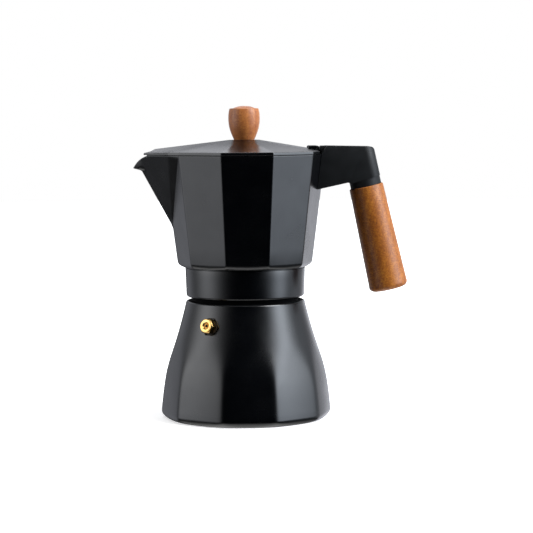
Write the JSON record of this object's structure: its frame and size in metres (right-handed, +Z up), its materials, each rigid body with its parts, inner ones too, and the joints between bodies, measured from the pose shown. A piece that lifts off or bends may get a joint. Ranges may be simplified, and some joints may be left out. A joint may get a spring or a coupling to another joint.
{
  "type": "stove-top moka pot",
  "caption": "Ten-sided stove-top coffee pot: water boiler with relief valve, lift-out funnel and filter, screwed-on collector with spout, hinged lid and an angled grip.",
  "frame": {"origin": "centre of the pot's flat base, on the hob", "axes": "+Z up the pot's axis, +X towards the handle, -X towards the spout"},
  "size_m": [0.1714, 0.102, 0.1951],
  "materials": {
    "body_lacquer": "glossy black lacquer over cast aluminium",
    "bare_aluminium": "spun and pressed, satin",
    "valve_brass": "turned, bright",
    "steel": "bright zinc",
    "fibre": "matt dark fibre",
    "seal_rubber": "matt silicone",
    "bracket_plastic": "satin black moulding",
    "grip_wood": "oiled, fine-pored brown wood"
  },
  "bodies": {
    "boiler": {"boiler": "body_lacquer", "valve_body": "valve_brass", "valve_washer": "fibre", "valve_cap": "valve_brass", "valve_spring": "steel"},
    "plunger": {"valve_plunger": "steel"},
    "funnel": {"funnel_basket": "bare_aluminium", "funnel_sieve": "bare_aluminium", "funnel_tube": "bare_aluminium"},
    "seal": {"gasket": "seal_rubber", "filter_plate": "bare_aluminium"},
    "collector": {"collector": "body_lacquer", "coffee_column": "bare_aluminium", "handle_bracket": "bracket_plastic", "bracket_screw": "steel", "handle_grip": "grip_wood", "grip_insert": "valve_brass", "grip_screw": "steel", "grip_washer": "steel", "hinge_pin": "steel"},
    "lid": {"lid": "body_lacquer", "knob": "grip_wood", "knob_screw": "steel", "knob_washer": "steel"}
  },
  "joints": [
    {"name": "valve_relief", "type": "slide", "parent": "boiler", "child": "plunger", "axis": [-0.5485, -0.798, 0.2497], "range_m": [0, 0.001], "stiffness_N_per_m": 400, "deforming": ["valve_spring"]},
    {"name": "funnel_lift", "type": "slide", "parent": "boiler", "child": "funnel", "axis": [0, 0, 1], "range_m": [0, 0.085]},
    {"name": "collector_lift", "type": "slide", "parent": "funnel", "child": "seal", "axis": [0, 0, 1], "range_m": [0, 0.0121]},
    {"name": "collector_turn", "type": "hinge", "parent": "seal", "child": "collector", "pos_m": [0, 0, 0.0884], "axis": [0, 0, 1], "range_deg": [0, 1080]},
    {"name": "lid_hinge", "type": "hinge", "parent": "collector", "child": "lid", "pos_m": [0.04503, 0, 0.1684], "axis": [0, 1, 0], "range_deg": [0, 100]}
  ],
  "couplings": [
    {"joint": "collector_lift", "follows": "collector_turn", "m_per_rad": 0.00063662}
  ]
}
